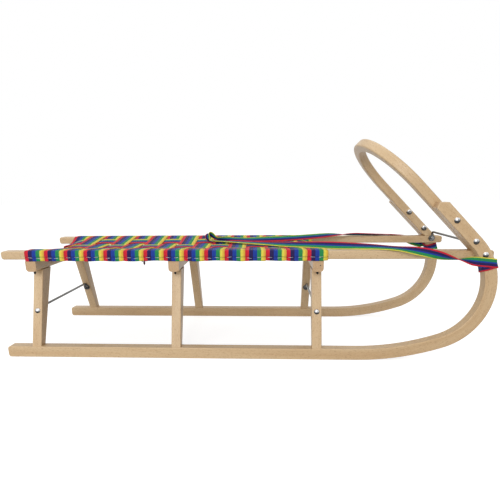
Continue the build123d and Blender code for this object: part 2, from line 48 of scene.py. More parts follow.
# Camera: place in metres, angles in radians, and the photograph's frame in pixels
CAMERA_PLACE = Vector((0.06005, -0.99353, 0.38271))
CAMERA_YAW = -0.0463
CAMERA_PITCH = 0.2413
CAMERA_ROLL = -0.0099
PICTURE_PIXELS = 500.0
FOCAL_PIXELS = 390.36
AXIS_ROW = 283.62
SENSOR_MM = 36.0
CLIP_START = 0.01

# Bends of the runners and the hoop, and splay of the legs, which the grain of the wood follows
HORN_LEAN = math.radians(135.0)
EASY_BEND_ANGLE = math.radians(19.0)
EASY_BEND_RADIUS = 0.580
TIGHT_BEND_RADIUS = 0.147
RUNNER_HEIGHT = 0.026
HOOP_SECTION = 0.022
HOOP_CROWN_Z = 0.477
LEG_SPLAY = 0.335

# Webbing of the seat
WEB_THICKNESS = 0.0016
WEB_GAP = 0.0002
SELVEDGE_SHARE = 0.45
RAIL_EASING = 0.003
BAND_COUNT = 15
BAND_PITCH = 0.0455
BAND_WIDTH = 0.0455
SEAT_MIDDLE_X = -0.1537
BAND_SKEW = 0.035
SEAT_SAG = 0.011
STRIP_WIDTH = 0.045
STRIP_PITCH = 0.068
WEAVE_RISE = 0.0009
WEAVE_GAP = 0.0018
HEM_DROP = 0.0026
HEM_UNEVEN = 0.0005
HEM_INSET = 0.0008
HEM_RADIUS = 0.0018
HEM_STEP = 0.005
HEM_WAVE = 0.0005
HEM_WAVE_TURN = 5.0
HEM_WAVE_TOP = 0.004
HEM_WAVE_REACH = 0.006
FLAT_START = 0.004
FLAT_STEP = 0.0045
END_DROP = 0.0108
END_DROP_REACH = 0.050
STRIP_END_REACH = 0.020
STRIP_OVERHANG = 0.0022
STRIP_EDGE_DROP = 0.001
STRIP_TURN_DROP = 0.003
STRIP_FACE_DROP = 0.009
STRIP_TAIL_DROP = 0.021
CORNER_CUT = 0.25
CREASE_Z = 0.2338
CREASE_REACH = 0.0010
CREASE_PUCKER = 0.0007
CREASE_WANDER = 0.0012
CREASE_TURN = 130.0

# Steps of the webbing's meshes
SPAN_STEPS = 78
SIDE_STEPS = 15
SIDE_STEP = 0.00095
TOP_ARC_STEPS = 6
HEM_ARC_STEPS = 5
HEM_ROWS = 3
FLAT_ROWS = 4
BAND_COLUMNS = 11
STRIP_COLUMNS = 11
STRIP_STEP = 0.0025
STRAP_COLUMNS = 9
SPLINE_STEPS = 8

# Pull strap
STRAP_WIDTH = 0.020
STRAP_THICKNESS = 0.0018
WRAP_PLACE = Vector((0.5298, 0.1535, 0.2140))
WRAP_TURN = math.radians(18.9)

STRAP_ROUTE = [
    # x, y, z of the strap's middle, the way from its red edge to its yellow edge, share of its width
    (0.5092, -0.1674, 0.2266, 0.0, 0.0, 1.0, 1.0),
    (0.4965, -0.1668, 0.2275, 0.0, 0.3, 0.95, 1.0),
    (0.4800, -0.1640, 0.2288, 0.0, 0.85, 0.5, 1.0),
    (0.4620, -0.1610, 0.2305, 0.0, 0.98, -0.18, 0.9),
    (0.4460, -0.1585, 0.2340, 0.0, 0.8, -0.6, 1.0),
    (0.4180, -0.1545, 0.2405, 0.0, 0.1, -1.0, 1.0),
    (0.3860, -0.1500, 0.2468, 0.0, -0.5, -0.85, 1.0),
    (0.3430, -0.1405, 0.2515, 0.0, -0.96, -0.26, 1.0),
    (0.2920, -0.1240, 0.2532, 0.0, -0.9, -0.43, 1.0),
    (0.2480, -0.1070, 0.2522, 0.0, -0.76, -0.65, 1.0),
    (0.2050, -0.0890, 0.2514, 0.0, -0.62, -0.78, 1.0),
    (0.1600, -0.0700, 0.2504, 0.0, -0.82, -0.57, 1.0),
    (0.1080, -0.0420, 0.2472, 0.0, -0.9, -0.43, 1.0),
    (0.0580, -0.0100, 0.2450, 0.0, -0.98, -0.18, 1.0),
    (0.0090, 0.0150, 0.2443, 0.0, -1.0, -0.1, 1.0),
    (-0.0380, 0.0335, 0.2443, 0.0, -1.0, 0.0, 1.0),
    (-0.0660, 0.0430, 0.2450, 0.1, -1.0, 0.0, 1.0),
    (-0.0840, 0.0480, 0.2452, 0.3, -0.95, 0.0, 1.0),
    (-0.0985, 0.0505, 0.2462, 0.7, -0.7, 0.0, 1.0),
    (-0.1030, 0.0520, 0.2575, 0.75, -0.65, 0.1, 1.0),
    (-0.0970, 0.0540, 0.2650, 0.6, -0.65, 0.5, 1.0),
    (-0.0875, 0.0550, 0.2580, 0.7, -0.6, 0.4, 0.95),
    (-0.0785, 0.0550, 0.2500, 0.5, -0.8, 0.3, 0.8),
    (-0.0590, 0.0545, 0.2492, 0.0, -0.3, 0.95, 0.6),
    (-0.0360, 0.0530, 0.2486, 0.0, 0.7, 0.7, 0.6),
    (-0.0120, 0.0500, 0.2476, 0.0, 0.93, 0.36, 0.9),
    (0.0130, 0.0490, 0.2470, 0.0, 0.9, 0.42, 1.0),
    (0.0550, 0.0515, 0.2480, 0.0, 0.8, 0.6, 1.0),
    (0.1030, 0.0600, 0.2487, 0.0, 0.8, 0.6, 1.0),
    (0.1520, 0.0705, 0.2504, 0.0, 0.85, 0.53, 1.0),
    (0.1970, 0.0820, 0.2524, 0.0, 0.85, 0.53, 1.0),
    (0.2430, 0.0980, 0.2545, 0.0, 0.95, 0.3, 1.0),
    (0.2920, 0.1145, 0.2532, 0.0, 0.88, -0.48, 1.0),
    (0.3380, 0.1245, 0.2514, 0.0, 0.93, -0.36, 1.0),
    (0.3840, 0.1315, 0.2499, 0.0, 0.97, -0.24, 1.0),
    (0.4180, 0.1395, 0.2488, 0.0, 0.99, -0.15, 1.0),
    (0.4450, 0.1490, 0.2420, 0.0, 0.8, -0.6, 1.0),
    (0.4660, 0.1555, 0.2325, 0.0, 0.3, -0.95, 1.0),
    (0.4860, 0.1620, 0.2230, 0.0, 0.0, -1.0, 1.0),
    (0.5109, 0.1674, 0.2170, 0.0, 0.0, -1.0, 1.0),
]

rail_low, rail_high = (Vector(corner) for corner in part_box("rail_left"))
runner_high = Vector(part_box("runner_left")[1])
rear_bar_low, rear_bar_high = (Vector(corner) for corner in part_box("crossbar_rear"))
front_bar_low, front_bar_high = (Vector(corner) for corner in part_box("crossbar_front"))


def spread(limit):
    """Random amount up to a limit, either way."""
    return random.uniform(-limit, limit)


# Shader graphs
class Graph:
    """Short way to add shader nodes to a material and to join them."""

    def __init__(self, name):
        self.material = bpy.data.materials.new(name)
        self.material.use_nodes = True
        self.tree = self.material.node_tree
        self.tree.nodes.clear()
        self.output = self.add("ShaderNodeOutputMaterial")

    def add(self, kind, inputs=None, **settings):
        """New node; inputs are values or sockets by name or number, and settings its properties."""
        new = self.tree.nodes.new(kind)
        for key, value in settings.items():
            setattr(new, key, value)
        for key, value in (inputs or {}).items():
            if isinstance(value, bpy.types.NodeSocket):
                self.tree.links.new(value, new.inputs[key])
            else:
                new.inputs[key].default_value = value
        return new

    def math(self, operation, first, second=0.0):
        return self.add("ShaderNodeMath", {0: first, 1: second}, operation=operation).outputs[0]

    def mix(self, factor, first, second):
        """Mix of two colours."""
        return self.add("ShaderNodeMix", {0: factor, 6: first, 7: second}, data_type="RGBA").outputs[2]

    def noise(self, vector, scale, detail=2.0, roughness=0.5):
        inputs = {"Vector": vector, "Scale": scale, "Detail": detail, "Roughness": roughness}
        return self.add("ShaderNodeTexNoise", inputs).outputs["Fac"]

    def stretch(self, vector, scale):
        return self.add("ShaderNodeVectorMath", {0: vector, 1: scale}, operation="MULTIPLY").outputs[0]

    def span(self, value, low, high, new_low=0.0, new_high=1.0):
        """Value carried from one range to another, held at the ends."""
        inputs = {"Value": value, "From Min": low, "From Max": high, "To Min": new_low, "To Max": new_high}
        return self.add("ShaderNodeMapRange", inputs).outputs[0]

    def ramp(self, value, stops, interpolation="LINEAR"):
        new = self.add("ShaderNodeValToRGB", {"Fac": value})
        new.color_ramp.interpolation = interpolation
        elements = new.color_ramp.elements
        for place, _ in stops[2:]:
            elements.new(place)
        for element, (place, colour) in zip(elements, stops):
            element.position = place
            element.color = colour
        return new.outputs["Color"]

    def attribute(self, name, output="Vector"):
        return self.add("ShaderNodeAttribute", attribute_name=name).outputs[output]

    def surface(self, kind="ShaderNodeBsdfPrincipled", inputs=None):
        new = self.add(kind, inputs)
        self.tree.links.new(new.outputs[0], self.output.inputs["Surface"])
        return self.material

    def bump(self, height, strength, distance):
        inputs = {"Height": height, "Strength": strength, "Distance": distance}
        return self.add("ShaderNodeBump", inputs).outputs["Normal"]


def screen_colour(red, green, blue):
    """Linear colour from the 0 to 255 values that a screen shows."""
    linear = []
    for level in (red, green, blue):
        share = level / 255.0
        linear.append(share / 12.92 if share <= 0.04045 else ((share + 0.055) / 1.055) ** 2.4)
    return (*linear, 1.0)


BEECH_PALE = screen_colour(214, 188, 149)
BEECH_WARM = screen_colour(197, 165, 123)
BEECH_FLECK = screen_colour(148, 108, 72)
BEECH_END = screen_colour(196, 163, 124)
RED = screen_colour(224, 34, 54)
NAVY = screen_colour(36, 22, 84)
BLUE = screen_colour(26, 62, 164)
GREEN = screen_colour(38, 146, 82)
LIME = screen_colour(242, 230, 84)
AMBER = screen_colour(250, 206, 78)
THREAD_DARK = screen_colour(46, 30, 58)
THREAD_PALE = screen_colour(92, 64, 70)
# Metal colours for faces turned up and faces turned down: painted reflection and shade, light on top and dark
# below
ZINC_LIT = (0.85, 0.85, 0.86, 1.0)
ZINC_SHADED = (0.05, 0.05, 0.05, 1.0)
STAPLE_LIT = (0.52, 0.52, 0.54, 1.0)
STAPLE_SHADED = (0.3, 0.3, 0.3, 1.0)
ROD_LIT = (0.24, 0.24, 0.23, 1.0)
ROD_SHADED = (0.07, 0.07, 0.07, 1.0)
SCREW_LIT = (0.06, 0.05, 0.05, 1.0)
SCREW_SHADED = (0.03, 0.03, 0.03, 1.0)
DYE_TINT = (0.02, 0.02, 0.03, 1.0)
SHADE_TINT = (0.01, 0.01, 0.015, 1.0)
FLOOR_GREY = (0.55, 0.55, 0.55, 1.0)
CREASE_SHADE = 0.5

# How closely each layer of a material is packed along three directions, per metre, and the yarns' pitches
FIGURE_PACKING = (3.0, 45.0, 45.0)
FIBRE_PACKING = (40.0, 1500.0, 1500.0)
FLECK_PACKING = (210.0, 1150.0, 1150.0)
PORE_PACKING = (900.0, 900.0, 900.0)
DYE_PACKING = (60.0, 400.0, 0.0)
TWIST_PACKING = (1500.0, 1500.0, 500.0)
EVEN_LINES = (900.0, 900.0, 900.0)
ROD_LINES = (1600.0, 40.0, 1600.0)
CLOUD_PACKING = 220.0
WEFT_PITCH = 0.0016
WARP_PITCH = 0.0013

# Glow of the floor, near the sled and far from it
GLOW_START = 0.8
GLOW_END = 2.4
GLOW_NEAR = 0.75
GLOW_FAR = 0.84

SEAT_STRIPES = [
    # start as a share of the width, and colour
    (0.0, RED),
    (0.185, NAVY),
    (0.385, BLUE),
    (0.58, GREEN),
    (0.775, LIME),
    (0.88, AMBER),
]
STRAP_STRIPES = [
    # start as a share of the width, and colour
    (0.0, RED),
    (0.16, NAVY),
    (0.43, BLUE),
    (0.60, GREEN),
    (0.90, LIME),
]


def beech_material():
    """Lacquered steamed beech: broad soft figure, fine fibre and short dark ray flecks along the grain."""
    graph = Graph("beech_lacquered")
    grain = graph.attribute("grain")
    tone_and_light = graph.attribute("tone_and_light", "Fac")
    end = graph.attribute("end_grain", "Fac")
    figure = graph.noise(graph.stretch(grain, FIGURE_PACKING), 1.0, 3.0, 0.55)
    fibre = graph.noise(graph.stretch(grain, FIBRE_PACKING), 1.0, 2.0, 0.6)
    fleck = graph.noise(graph.stretch(grain, FLECK_PACKING), 1.0, 1.0, 0.4)
    fleck_share = graph.span(fleck, 0.60, 0.70)
    base = graph.mix(graph.span(figure, 0.30, 0.70), BEECH_PALE, BEECH_WARM)
    base = graph.mix(graph.span(fibre, 0.35, 0.75, 0.0, 0.22), base, BEECH_FLECK)
    base = graph.mix(graph.math("MULTIPLY", fleck_share, 0.55), base, BEECH_FLECK)
    pores = graph.noise(graph.stretch(grain, PORE_PACKING), 1.0, 2.0, 0.6)
    end_colour = graph.mix(graph.span(pores, 0.4, 0.7, 0.0, 0.6), BEECH_END, BEECH_FLECK)
    base = graph.mix(end, base, end_colour)
    # Each part's tone, partly its own and partly painted light and shade, scales the colour's value
    shade = graph.add("ShaderNodeHueSaturation", {"Value": tone_and_light, "Color": base})
    rough = graph.span(fibre, 0.3, 0.7, 0.36, 0.50)
    relief = graph.math("SUBTRACT", graph.math("MULTIPLY", fibre, 0.5), fleck_share)
    inputs = {
        "Base Color": shade.outputs[0],
        "Roughness": rough,
        "Normal": graph.bump(relief, 0.18, 0.00025),
        "Coat Weight": 0.18,
        "Coat Roughness": 0.28,
        "Specular IOR Level": 0.4,
    }
    return graph.surface(inputs=inputs)


def webbing_material(name, stops):
    """Striped woven webbing, yarns as relief, slightly uneven dye and painted shade in yarn hollows and
    crease.
    """
    graph = Graph(name)
    web = graph.attribute("web")
    parts = graph.add("ShaderNodeSeparateXYZ", {0: web})
    along = parts.outputs[0]
    across = parts.outputs[1]
    share = parts.outputs[2]
    weft = graph.math("SINE", graph.math("MULTIPLY", along, 2 * math.pi / WEFT_PITCH))
    warp = graph.math("SINE", graph.math("MULTIPLY", across, 2 * math.pi / WARP_PITCH))
    yarn = graph.math("MULTIPLY", weft, warp)
    ragged = graph.math("ADD", share, graph.math("MULTIPLY", weft, 0.006))
    stripes = graph.ramp(ragged, stops, "CONSTANT")
    dye = graph.noise(graph.stretch(web, DYE_PACKING), 1.0, 3.0, 0.6)
    stripes = graph.mix(graph.span(dye, 0.35, 0.75, 0.0, 0.28), stripes, DYE_TINT)
    # Painted shade in the hollows between the yarns
    stripes = graph.mix(graph.span(yarn, -1.0, 1.0, 0.22, 0.0), stripes, SHADE_TINT)
    # Painted shade along the crease at the line of staples
    crease = graph.math("MULTIPLY", graph.attribute("crease", "Fac"), CREASE_SHADE)
    stripes = graph.mix(crease, stripes, SHADE_TINT)
    inputs = {
        "Base Color": stripes,
        "Roughness": graph.span(dye, 0.3, 0.7, 0.62, 0.8),
        "Normal": graph.bump(yarn, 0.5, 0.0003),
        "Sheen Weight": 0.10,
        "Sheen Roughness": 0.3,
        "Specular IOR Level": 0.22,
    }
    return graph.surface(inputs=inputs)


def metal_material(name, lit_colour, shaded_colour, rough, stretch):
    """Drawn or plated metal with fine lines and a painted reflection, bright facing up and dark facing down.
    """
    graph = Graph(name)
    place = graph.add("ShaderNodeTexCoord").outputs["Object"]
    facing = graph.add("ShaderNodeSeparateXYZ", {0: graph.add("ShaderNodeNewGeometry").outputs["Normal"]})
    lines = graph.noise(graph.stretch(place, stretch), 1.0, 3.0, 0.6)
    cloud = graph.span(graph.noise(place, CLOUD_PACKING, 3.0, 0.6), 0.3, 0.7, -0.12, 0.12)
    # Painted reflection and shade: the base colour runs from the shaded colour on faces turned down to the
    # lit colour on faces turned up
    upward = graph.span(graph.math("ADD", facing.outputs[2], cloud), -0.1, 0.65)
    inputs = {
        "Base Color": graph.mix(upward, shaded_colour, lit_colour),
        "Metallic": 1.0,
        "Roughness": graph.span(lines, 0.3, 0.7, rough, rough + 0.14),
        "Normal": graph.bump(lines, 0.08, 0.0001),
    }
    return graph.surface(inputs=inputs)


def thread_material():
    """Loose ends of the webbing's yarns."""
    graph = Graph("thread_ends")
    place = graph.add("ShaderNodeTexCoord").outputs["Object"]
    twist = graph.noise(graph.stretch(place, TWIST_PACKING), 1.0, 2.0, 0.5)
    colour = graph.mix(graph.span(twist, 0.35, 0.65), THREAD_DARK, THREAD_PALE)
    inputs = {"Base Color": colour, "Roughness": 0.85, "Normal": graph.bump(twist, 0.4, 0.0002)}
    return graph.surface(inputs=inputs)


def ground_material():
    """Matte grey floor that keeps the soft shadow, with a glow for the camera and reflections only."""
    graph = Graph("studio_floor")
    path = graph.add("ShaderNodeLightPath")
    seen = graph.math("MAXIMUM", path.outputs["Is Camera Ray"], path.outputs["Is Glossy Ray"])
    seen = graph.math("MAXIMUM", seen, path.outputs["Is Transmission Ray"])
    matte = graph.add("ShaderNodeBsdfDiffuse", {"Color": FLOOR_GREY})
    place = graph.add("ShaderNodeTexCoord").outputs["Object"]
    far = graph.add("ShaderNodeVectorMath", {0: place}, operation="LENGTH").outputs["Value"]
    level = graph.span(far, GLOW_START, GLOW_END, GLOW_NEAR, GLOW_FAR)
    strength = graph.math("MULTIPLY", seen, level)
    glow = graph.add("ShaderNodeEmission", {"Strength": strength})
    return graph.surface("ShaderNodeAddShader", {0: matte.outputs[0], 1: glow.outputs[0]})


beech = beech_material()
webbing = webbing_material("webbing_seat", SEAT_STRIPES)
strap_webbing = webbing_material("webbing_strap", STRAP_STRIPES)
zinc = metal_material("zinc_bright", ZINC_LIT, ZINC_SHADED, 0.12, EVEN_LINES)
staple_wire = metal_material("staple_wire", STAPLE_LIT, STAPLE_SHADED, 0.3, EVEN_LINES)
rod_steel = metal_material("steel_drawn", ROD_LIT, ROD_SHADED, 0.26, ROD_LINES)
screw_steel = metal_material("steel_screw", SCREW_LIT, SCREW_SHADED, 0.4, EVEN_LINES)
thread = thread_material()


# Grain of the wooden pieces
tight_centre_x = runner_high.x - TIGHT_BEND_RADIUS
centres_apart = EASY_BEND_RADIUS - TIGHT_BEND_RADIUS
foot_front_x = tight_centre_x - centres_apart * math.sin(EASY_BEND_ANGLE)
tight_centre_z = EASY_BEND_RADIUS - centres_apart * math.cos(EASY_BEND_ANGLE)
tight_centre = Vector((tight_centre_x, 0.0, tight_centre_z))
easy_length = EASY_BEND_RADIUS * EASY_BEND_ANGLE
tight_length = TIGHT_BEND_RADIUS * (HORN_LEAN - EASY_BEND_ANGLE)
horn_way = Vector((math.cos(HORN_LEAN), 0.0, math.sin(HORN_LEAN)))
horn_out = Vector((math.sin(HORN_LEAN), 0.0, -math.cos(HORN_LEAN)))
crown_out = tight_centre + horn_out * (TIGHT_BEND_RADIUS - RUNNER_HEIGHT / 2)
hoop_crown = crown_out + horn_way * ((HOOP_CROWN_Z - crown_out.z) / horn_way.z)
hoop_radius = rail_high.y - HOOP_SECTION / 2


def runner_grain(point):
    """Distance along the bent runner, depth in from its sole, and y; then the grain's direction."""
    if point.x < foot_front_x:
        return Vector((point.x - foot_front_x, point.z, point.y)), Vector((1.0, 0.0, 0.0))
    from_easy = Vector((point.x - foot_front_x, 0.0, point.z - EASY_BEND_RADIUS))
    angle = math.atan2(from_easy.x, -from_easy.z)
    if angle < EASY_BEND_ANGLE:
        place = Vector((EASY_BEND_RADIUS * angle, EASY_BEND_RADIUS - from_easy.length, point.y))
        return place, Vector((math.cos(angle), 0.0, math.sin(angle)))
    from_tight = Vector((point.x, 0.0, point.z)) - tight_centre
    up_horn = from_tight.dot(horn_way)
    if up_horn > 0.0:
        depth = TIGHT_BEND_RADIUS - from_tight.dot(horn_out)
        return Vector((easy_length + tight_length + up_horn, depth, point.y)), horn_way
    angle = math.atan2(from_tight.x, -from_tight.z)
    depth = TIGHT_BEND_RADIUS - from_tight.length
    along = easy_length + TIGHT_BEND_RADIUS * (angle - EASY_BEND_ANGLE)
    return Vector((along, depth, point.y)), Vector((math.cos(angle), 0.0, math.sin(angle)))


def hoop_grain(point):
    """Distance along the hoop from its crown, distance from its middle, and depth; then the direction."""
    below = (hoop_crown - point).dot(horn_way) - hoop_radius
    depth = (point - hoop_crown).dot(horn_out)
    if below > 0.0:
        side = 1.0 if point.y > 0 else -1.0
        along = side * (below + hoop_radius * math.pi / 2)
        return Vector((along, abs(point.y), depth)), horn_way
    angle = math.atan2(point.y, -below)
    radius = math.hypot(point.y, below)
    way = Vector((0.0, math.cos(angle), 0.0)) - horn_way * math.sin(angle)
    return Vector((hoop_radius * angle, radius, depth)), way


def leg_grain(point):
    """Distance down the splayed leg and the two distances across it; then the direction."""
    side = 1.0 if point.y > 0 else -1.0
    way = Vector((0.0, -side * LEG_SPLAY, 1.0)).normalized()
    across = Vector((0.0, way.z, -way.y))
    return Vector((point.dot(way), point.dot(across), point.x)), way


def rail_grain(point):
    return Vector((point.x, point.y, point.z)), Vector((1.0, 0.0, 0.0))


def crossbar_grain(point):
    return Vector((point.y, point.x, point.z)), Vector((0.0, 1.0, 0.0))


WOODS = [
    # start of the node's name, way to read the grain, tone: partly the board's own, partly painted light and
    # shade on the whole part
    ("runner_left", runner_grain, 0.99),
    ("runner_right", runner_grain, 1.0),
    ("rail_left", rail_grain, 1.02),
    ("rail_right", rail_grain, 0.97),
    ("crossbar_", crossbar_grain, 0.98),
    ("leg_rear_", leg_grain, 1.0),
    # Painted light: the far middle leg is raised well above the other parts
    ("leg_middle_left", leg_grain, 1.14),
    ("leg_middle_right", leg_grain, 0.97),
    ("leg_front_", leg_grain, 1.01),
    ("hoop", hoop_grain, 1.0),
]
END_GRAIN_COSINE = 0.75
TONE_SPREAD = 0.012
GRAIN_SHIFT = (1, 9)


def paint(piece, material):
    """One material all over a piece."""
    piece.data.materials.clear()
    piece.data.materials.append(material)


def dress_wood(name, reader, tone_and_light):
    """Gives a wooden node its grain, its own tone mixed with painted light and shade, and the lacquered
    beech.
    """
    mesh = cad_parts[name].data
    shift = Vector([random.uniform(*GRAIN_SHIFT) for _ in range(3)])
    places = [reader(vertex.co)[0] + shift for vertex in mesh.vertices]
    ends = [abs(face.normal.dot(reader(face.center)[1])) > END_GRAIN_COSINE for face in mesh.polygons]
    mesh.attributes.new("grain", "FLOAT_VECTOR", "POINT")
    mesh.attributes.new("tone_and_light", "FLOAT", "POINT")
    mesh.attributes.new("end_grain", "FLOAT", "FACE")
    mesh.attributes["grain"].data.foreach_set("vector", [value for place in places for value in place])
    mesh.attributes["tone_and_light"].data.foreach_set("value", [tone_and_light] * len(places))
    mesh.attributes["end_grain"].data.foreach_set("value", [float(end) for end in ends])
    paint(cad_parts[name], beech)


for node_name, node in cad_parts.items():
    woods = [row for row in WOODS if node_name.startswith(row[0])]
    if "bolt" in node_name or "nut" in node_name:
        paint(node, zinc)
    elif woods:
        reader, tone_and_light = woods[0][1:]
        dress_wood(node_name, reader, tone_and_light + spread(TONE_SPREAD))
    elif node_name.startswith("tie_rod"):
        paint(node, rod_steel)
    elif node_name.startswith("screw"):
        paint(node, screw_steel)


# Webbing meshes
web_reach = WEB_GAP + WEB_THICKNESS / 2
web_top_z = rail_high.z + web_reach
seat_rear_x = SEAT_MIDDLE_X - BAND_COUNT * BAND_PITCH / 2
seat_front_x = SEAT_MIDDLE_X + BAND_COUNT * BAND_PITCH / 2
strip_places = [-STRIP_PITCH, 0.0, STRIP_PITCH]


def link(name, mesh, material):
    """New piece of the sled, riding on its one body."""
    piece = bpy.data.objects.new(name, mesh)
    bpy.context.collection.objects.link(piece)
    mesh.materials.append(material)
    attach(piece, "root")
    return piece


# This nearness sets the painted shade along the crease
def crease_at(point):
    """How near a point of the webbing is to the line of staples along the rail's outer side, from 0 to 1."""
    if abs(point.y) < rail_high.y or point.x > seat_front_x + BAND_PITCH:
        return 0.0
    wander = CREASE_WANDER * math.sin(CREASE_TURN * point.x) * math.sin(CREASE_TURN * point.x / 3)
    return math.exp(-(((point.z - CREASE_Z - wander) / CREASE_REACH) ** 2))


def web_mesh(name, grids, thickness):
    """Closed strips of webbing from grids of points on their middle surfaces, as rows along them."""
    points = []
    faces = []
    webs = []
    for rows in grids:
        count = len(rows)
        columns = len(rows[0])
        start = len(points)
        along = [0.0] * count
        for i in range(1, count):
            along[i] = along[i - 1] + (rows[i][columns // 2] - rows[i - 1][columns // 2]).length
        width = sum((rows[0][j + 1] - rows[0][j]).length for j in range(columns - 1))
        for face_side in (1, -1):
            for i in range(count):
                for j in range(columns):
                    lengthwise = rows[min(i + 1, count - 1)][j] - rows[max(i - 1, 0)][j]
                    crosswise = rows[i][min(j + 1, columns - 1)] - rows[i][max(j - 1, 0)]
                    normal = lengthwise.cross(crosswise).normalized()
                    edge = min(j, columns - 1 - j)
                    half = thickness / 2 * (SELVEDGE_SHARE if edge == 0 else 1.0)
                    points.append(rows[i][j] + normal * (face_side * half))
                    share = j / (columns - 1)
                    webs.append((along[i], share * width, share))
        back = start + count * columns
        for i in range(count - 1):
            for j in range(columns - 1):
                a = start + i * columns + j
                b = back + i * columns + j
                faces.append((a, a + columns, a + columns + 1, a + 1))
                faces.append((b, b + 1, b + columns + 1, b + columns))
        for i in range(count - 1):
            a = start + i * columns
            b = back + i * columns
            faces.append((a, b, b + columns, a + columns))
            last = columns - 1
            faces.append((a + last, a + columns + last, b + columns + last, b + last))
        for j in range(columns - 1):
            a = start + j
            b = back + j
            faces.append((a, a + 1, b + 1, b))
            top = (count - 1) * columns
            faces.append((a + top, b + top, b + top + 1, a + top + 1))
    mesh = bpy.data.meshes.new(name)
    mesh.from_pydata(points, [], faces)
    mesh.attributes.new("web", "FLOAT_VECTOR", "POINT")
    mesh.attributes.new("crease", "FLOAT", "POINT")
    mesh.attributes["web"].data.foreach_set("vector", [value for web in webs for value in web])
    mesh.attributes["crease"].data.foreach_set("value", [crease_at(point) for point in points])
    for face in mesh.polygons:
        face.use_smooth = True
    mesh.update()
    return mesh


def smooth_step(value):
    value = min(max(value, 0.0), 1.0)
    return value * value * (3.0 - 2.0 * value)


def seat_level(y):
    """Height of the seat's middle surface, sagging between the rails."""
    inner = rail_low.y
    if abs(y) >= inner:
        return web_top_z
    return web_top_z - SEAT_SAG * (1.0 - (y / inner) ** 2)


def strip_over(band, strip):
    """1 where the strip goes over the band, and -1 where it goes under."""
    return 1.0 if (band + strip) % 2 == 0 else -1.0


def strip_wave(x):
    """Rise of a strip along the seat, as a share, for a strip that goes over the first band."""
    return math.sin(math.pi * (x - seat_rear_x) / BAND_PITCH)


def end_drop(x, y):
    """How far the strips pull the seat's first and last bands down towards the end crossbars."""
    from_end = min(x - seat_rear_x, seat_front_x - x)
    middle = max(0.0, 1.0 - (abs(y) / rail_low.y) ** 4)
    return END_DROP * middle * (1.0 - smooth_step(from_end / END_DROP_REACH))


def band_lift(band, x, y):
    """Height of a band above the seat's middle surface, from the strips that it crosses."""
    bow = math.sin(math.pi * ((x - seat_rear_x) / BAND_PITCH - band))
    lifts = []
    for strip in range(len(strip_places)):
        over = strip_over(band, strip)
        lifts.append(over * (WEAVE_RISE * bow - WEAVE_GAP))
    half = STRIP_WIDTH / 2
    if y <= strip_places[0] - half:
        return lifts[0] * smooth_step((y + rail_low.y) / (strip_places[0] - half + rail_low.y))
    if y >= strip_places[-1] + half:
        return lifts[-1] * smooth_step((rail_low.y - y) / (rail_low.y - strip_places[-1] - half))
    for strip, place in enumerate(strip_places):
        if abs(y - place) <= half:
            return lifts[strip]
    for strip in range(len(strip_places) - 1):
        gap_start = strip_places[strip] + half
        gap_end = strip_places[strip + 1] - half
        if gap_start <= y <= gap_end:
            share = smooth_step((y - gap_start) / (gap_end - gap_start))
            return lifts[strip] * (1 - share) + lifts[strip + 1] * share
    return 0.0


def arc(centre, radius, start, end, steps):
    """Points of an arc in the YZ plane, with angles in degrees from +Y."""
    points = []
    for step in range(steps + 1):
        angle = math.radians(start + (end - start) * step / steps)
        points.append((centre[0] + radius * math.cos(angle), centre[1] + radius * math.sin(angle)))
    return points


def rail_wrap(hem_z):
    """Half path of a band on the left rail, from its seat side over the top and down to the hem below."""
    hem_y = rail_high.y - HEM_INSET
    top_centre = (rail_high.y - RAIL_EASING, rail_high.z - RAIL_EASING)
    top = arc(top_centre, RAIL_EASING + web_reach, 90, 0, TOP_ARC_STEPS)
    foot = arc((hem_y, hem_z + HEM_RADIUS), HEM_RADIUS, 0, -90, HEM_ARC_STEPS)
    side = []
    for step in range(1, SIDE_STEPS + 1):
        z = rail_high.z - RAIL_EASING - step * SIDE_STEP
        from_ends = math.sin(math.pi * step / (SIDE_STEPS + 1))
        off_crease = 1.0 - math.exp(-(((z - CREASE_Z) / (2 * CREASE_REACH)) ** 2))
        side.append((rail_high.y + web_reach + CREASE_PUCKER * from_ends * off_crease, z))
    below = [(hem_y - step * HEM_STEP, hem_z) for step in range(1, HEM_ROWS + 1)]
    flat = [(rail_low.y + FLAT_START + step * FLAT_STEP, web_top_z) for step in range(FLAT_ROWS)]
    return flat + top + side + foot + below


def band_grid(band):
    """Middle surface of one band, from the hem under the right rail to the hem under the left one."""
    rows = []
    hem_z = rail_low.z - HEM_DROP + spread(HEM_UNEVEN)
    wave = random.uniform(0, 2 * math.pi)
    wrap = rail_wrap(hem_z)
    span = [rail_low.y * (2 * step / SPAN_STEPS - 1) for step in range(SPAN_STEPS + 1)]
    path = [(-y, z) for y, z in reversed(wrap)]
    path += [(y, None) for y in span]
    path += wrap
    for y, z in path:
        row = []
        for column in range(BAND_COLUMNS):
            share = column / (BAND_COLUMNS - 1)
            x = seat_rear_x + (band + 0.5) * BAND_PITCH + (share - 0.5) * BAND_WIDTH
            skewed_x = x - BAND_SKEW * y
            if z is None:
                height = seat_level(y) + band_lift(band, x, y) - end_drop(x, y)
            else:
                low = smooth_step((rail_low.z + HEM_WAVE_TOP - z) / HEM_WAVE_REACH)
                height = z + low * HEM_WAVE * math.sin(wave + share * HEM_WAVE_TURN)
            row.append(Vector((skewed_x, y, height)))
        rows.append(row)
    return rows


for weave, first_band in (("over", 0), ("under", 1)):
    name = "webbing_bands_" + weave
    grids = [band_grid(band) for band in range(first_band, BAND_COUNT, 2)]
    bands = link(name, web_mesh(name, grids, WEB_THICKNESS), webbing)
    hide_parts("seat_bands_" + weave)


def rounded_path(corners, rounds=3):
    """Path through corners with each corner cut back, again and again."""
    path = list(corners)
    for _ in range(rounds):
        cut = [path[0]]
        for first, second in zip(path, path[1:]):
            for share in (CORNER_CUT, 1.0 - CORNER_CUT):
                cut.append(tuple(a * (1.0 - share) + b * share for a, b in zip(first, second)))
        cut.append(path[-1])
        path = cut
    return path


